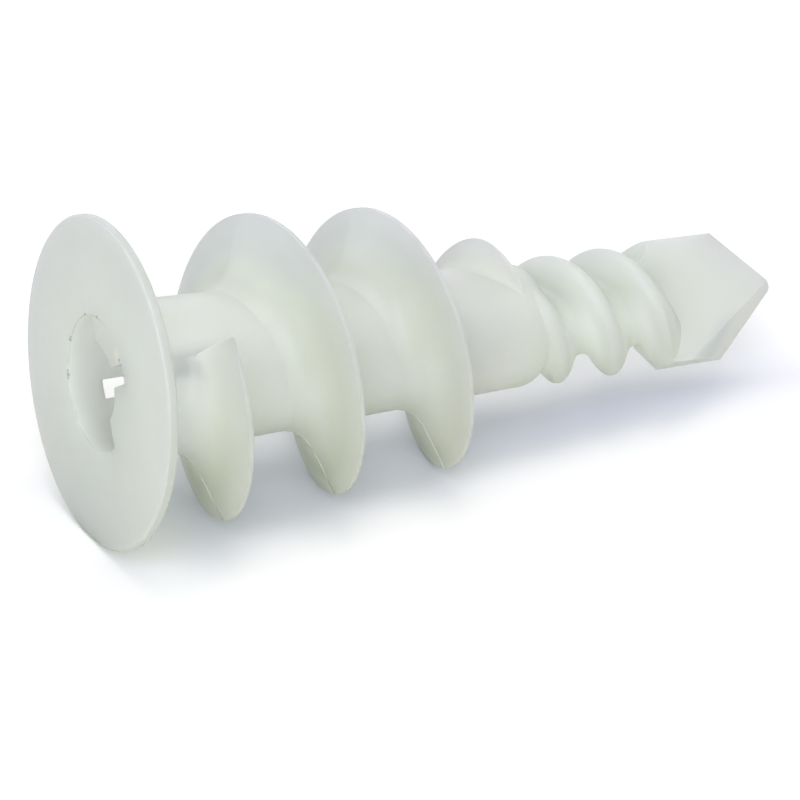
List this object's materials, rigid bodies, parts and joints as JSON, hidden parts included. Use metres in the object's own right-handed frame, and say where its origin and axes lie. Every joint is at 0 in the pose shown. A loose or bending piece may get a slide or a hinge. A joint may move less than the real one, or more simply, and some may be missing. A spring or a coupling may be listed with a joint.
{
  "type": "self-drilling drywall anchor",
  "caption": "Self-drilling wall anchor moulded in one piece: round flat head with a driver recess, deep coarse thread, ridged drilling core and a pointed spade tip.",
  "frame": {"origin": "centre of the head's front face, which is the base when the anchor stands on its head", "axes": "+Z along the anchor's axis from the head to the drilling tip; -Y is the side that the picture looks at, +X is the picture's lower side"},
  "size_m": [0.015, 0.015, 0.0347],
  "materials": {
    "nylon": "satin"
  },
  "bodies": {
    "root": {"anchor_body": "nylon"}
  },
  "joints": []
}
